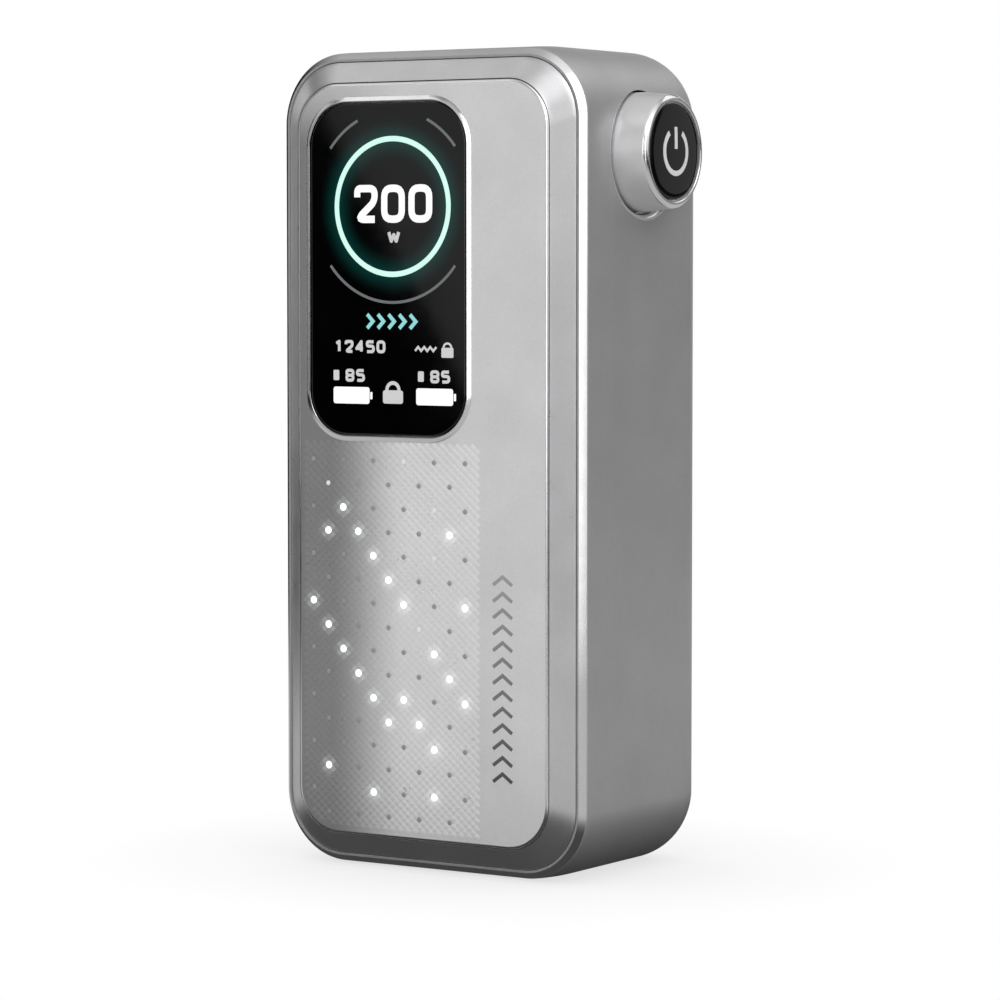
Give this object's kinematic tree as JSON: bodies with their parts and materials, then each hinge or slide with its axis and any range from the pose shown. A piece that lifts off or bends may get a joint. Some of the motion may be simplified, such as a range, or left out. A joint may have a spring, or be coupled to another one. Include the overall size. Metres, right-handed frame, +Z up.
{
  "type": "regulated twin-cell power bank",
  "caption": "Handheld upright power bank with a rounded metal case, front display and light panel, side press-and-turn knob, top output socket and rear battery cover.",
  "frame": {"origin": "centre of the flat base, on the base plane", "axes": "+Z up, -Y towards the display side, +X towards the control knob"},
  "size_m": [0.0467, 0.0302, 0.0955],
  "materials": {
    "housing": "fine matte metallic paint, soft sheen",
    "frame": "satin, bright along its edges",
    "plate": "satin silver with a fine diamond pattern and small dots that light up",
    "glass": "glossy black",
    "display": "black",
    "guide": "clear, lightly frosted",
    "board": "green solder mask",
    "led": "pale phosphor",
    "chip": "moulded black",
    "ferrite": "pressed grey powder",
    "steel": "turned, bright",
    "gold": "gold plated",
    "nickel": "nickel plated",
    "flex": "amber film over copper",
    "black_plastic": "fine moulded texture",
    "insulator": "ivory, smooth",
    "cell_wrap": "shrink sleeve, blue",
    "red_wire": "silicone, red",
    "black_wire": "silicone, black",
    "seal": "black",
    "inlay": "glossy black"
  },
  "bodies": {
    "housing": {"body_shell": "housing", "front_frame": "frame", "front_plate": "plate", "screen_lens": "glass", "display_module": "display", "display_flex": "flex", "light_guide": "guide", "led_board": "board", "led_bar": "led", "main_board": "board", "control_chip": "chip", "power_chip": "chip", "power_inductor_left": "ferrite", "power_inductor_right": "ferrite", "usb_socket": "steel", "usb_tongue": "black_plastic", "battery_cradle": "black_plastic", "keeper_plate_lower": "nickel", "keeper_plate_upper": "nickel", "cell_left_can": "nickel", "cell_left_cap": "nickel", "cell_left_sleeve": "cell_wrap", "cell_right_can": "nickel", "cell_right_cap": "nickel", "cell_right_sleeve": "cell_wrap", "contact_spring_left": "steel", "contact_spring_right": "steel", "bridge_plate": "nickel", "frame_screw_lower_left": "steel", "frame_screw_lower_right": "steel", "frame_screw_upper_left": "steel", "frame_screw_upper_right": "steel", "knob_spring": "steel", "knob_bush": "gold", "encoder_body": "black_plastic", "press_switch": "steel", "knob_board": "board", "connector_body": "steel", "connector_insulator": "insulator", "connector_spring": "steel", "connector_seal": "seal", "connector_nut": "steel", "positive_lead": "red_wire", "negative_lead": "black_wire"},
    "rear_cover": {"rear_cover": "housing", "cover_magnet_lower_left": "nickel", "cover_magnet_lower_right": "nickel", "cover_magnet_upper_left": "nickel", "cover_magnet_upper_right": "nickel"},
    "knob_carriage": {"thrust_washer": "steel"},
    "knob": {"knob_barrel": "frame", "knob_inlay": "inlay", "knob_shaft": "steel", "shaft_clip": "steel"},
    "encoder_rotor": {"encoder_rotor": "insulator"},
    "switch_button": {"switch_button": "black_plastic"},
    "connector_pin": {"connector_pin": "gold"},
    "contact_plunger_left": {"contact_plunger_left": "gold"},
    "contact_plunger_right": {"contact_plunger_right": "gold"}
  },
  "joints": [
    {"name": "rear_cover_lift", "type": "slide", "parent": "housing", "child": "rear_cover", "axis": [0, 1, 0], "range_m": [0, 0.045]},
    {"name": "knob_press", "type": "slide", "parent": "housing", "child": "knob_carriage", "axis": [-1, 0, 0], "range_m": [0, 0.0005], "stiffness_N_per_m": 200, "springref_m": -0.005, "deforming": ["knob_spring"]},
    {"name": "knob_turn", "type": "hinge", "parent": "knob_carriage", "child": "knob", "pos_m": [0.02125, -0.0002, 0.0835], "axis": [1, 0, 0], "continuous": true},
    {"name": "encoder_turn", "type": "hinge", "parent": "housing", "child": "encoder_rotor", "pos_m": [0.0123, -0.0002, 0.0835], "axis": [1, 0, 0], "continuous": true},
    {"name": "switch_press", "type": "slide", "parent": "housing", "child": "switch_button", "axis": [-1, 0, 0], "range_m": [0, 0.0005]},
    {"name": "output_pin_press", "type": "slide", "parent": "housing", "child": "connector_pin", "axis": [0, 0, -1], "range_m": [0, 0.0008], "deforming": ["connector_spring"]},
    {"name": "contact_press_left", "type": "slide", "parent": "housing", "child": "contact_plunger_left", "axis": [0, 0, 1], "range_m": [0, 0.0004], "deforming": ["contact_spring_left"]},
    {"name": "contact_press_right", "type": "slide", "parent": "housing", "child": "contact_plunger_right", "axis": [0, 0, 1], "range_m": [0, 0.0004], "deforming": ["contact_spring_right"]}
  ],
  "couplings": [
    {"joint": "encoder_turn", "follows": "knob_turn", "ratio": 1},
    {"joint": "switch_press", "follows": "knob_press", "ratio": 1}
  ]
}
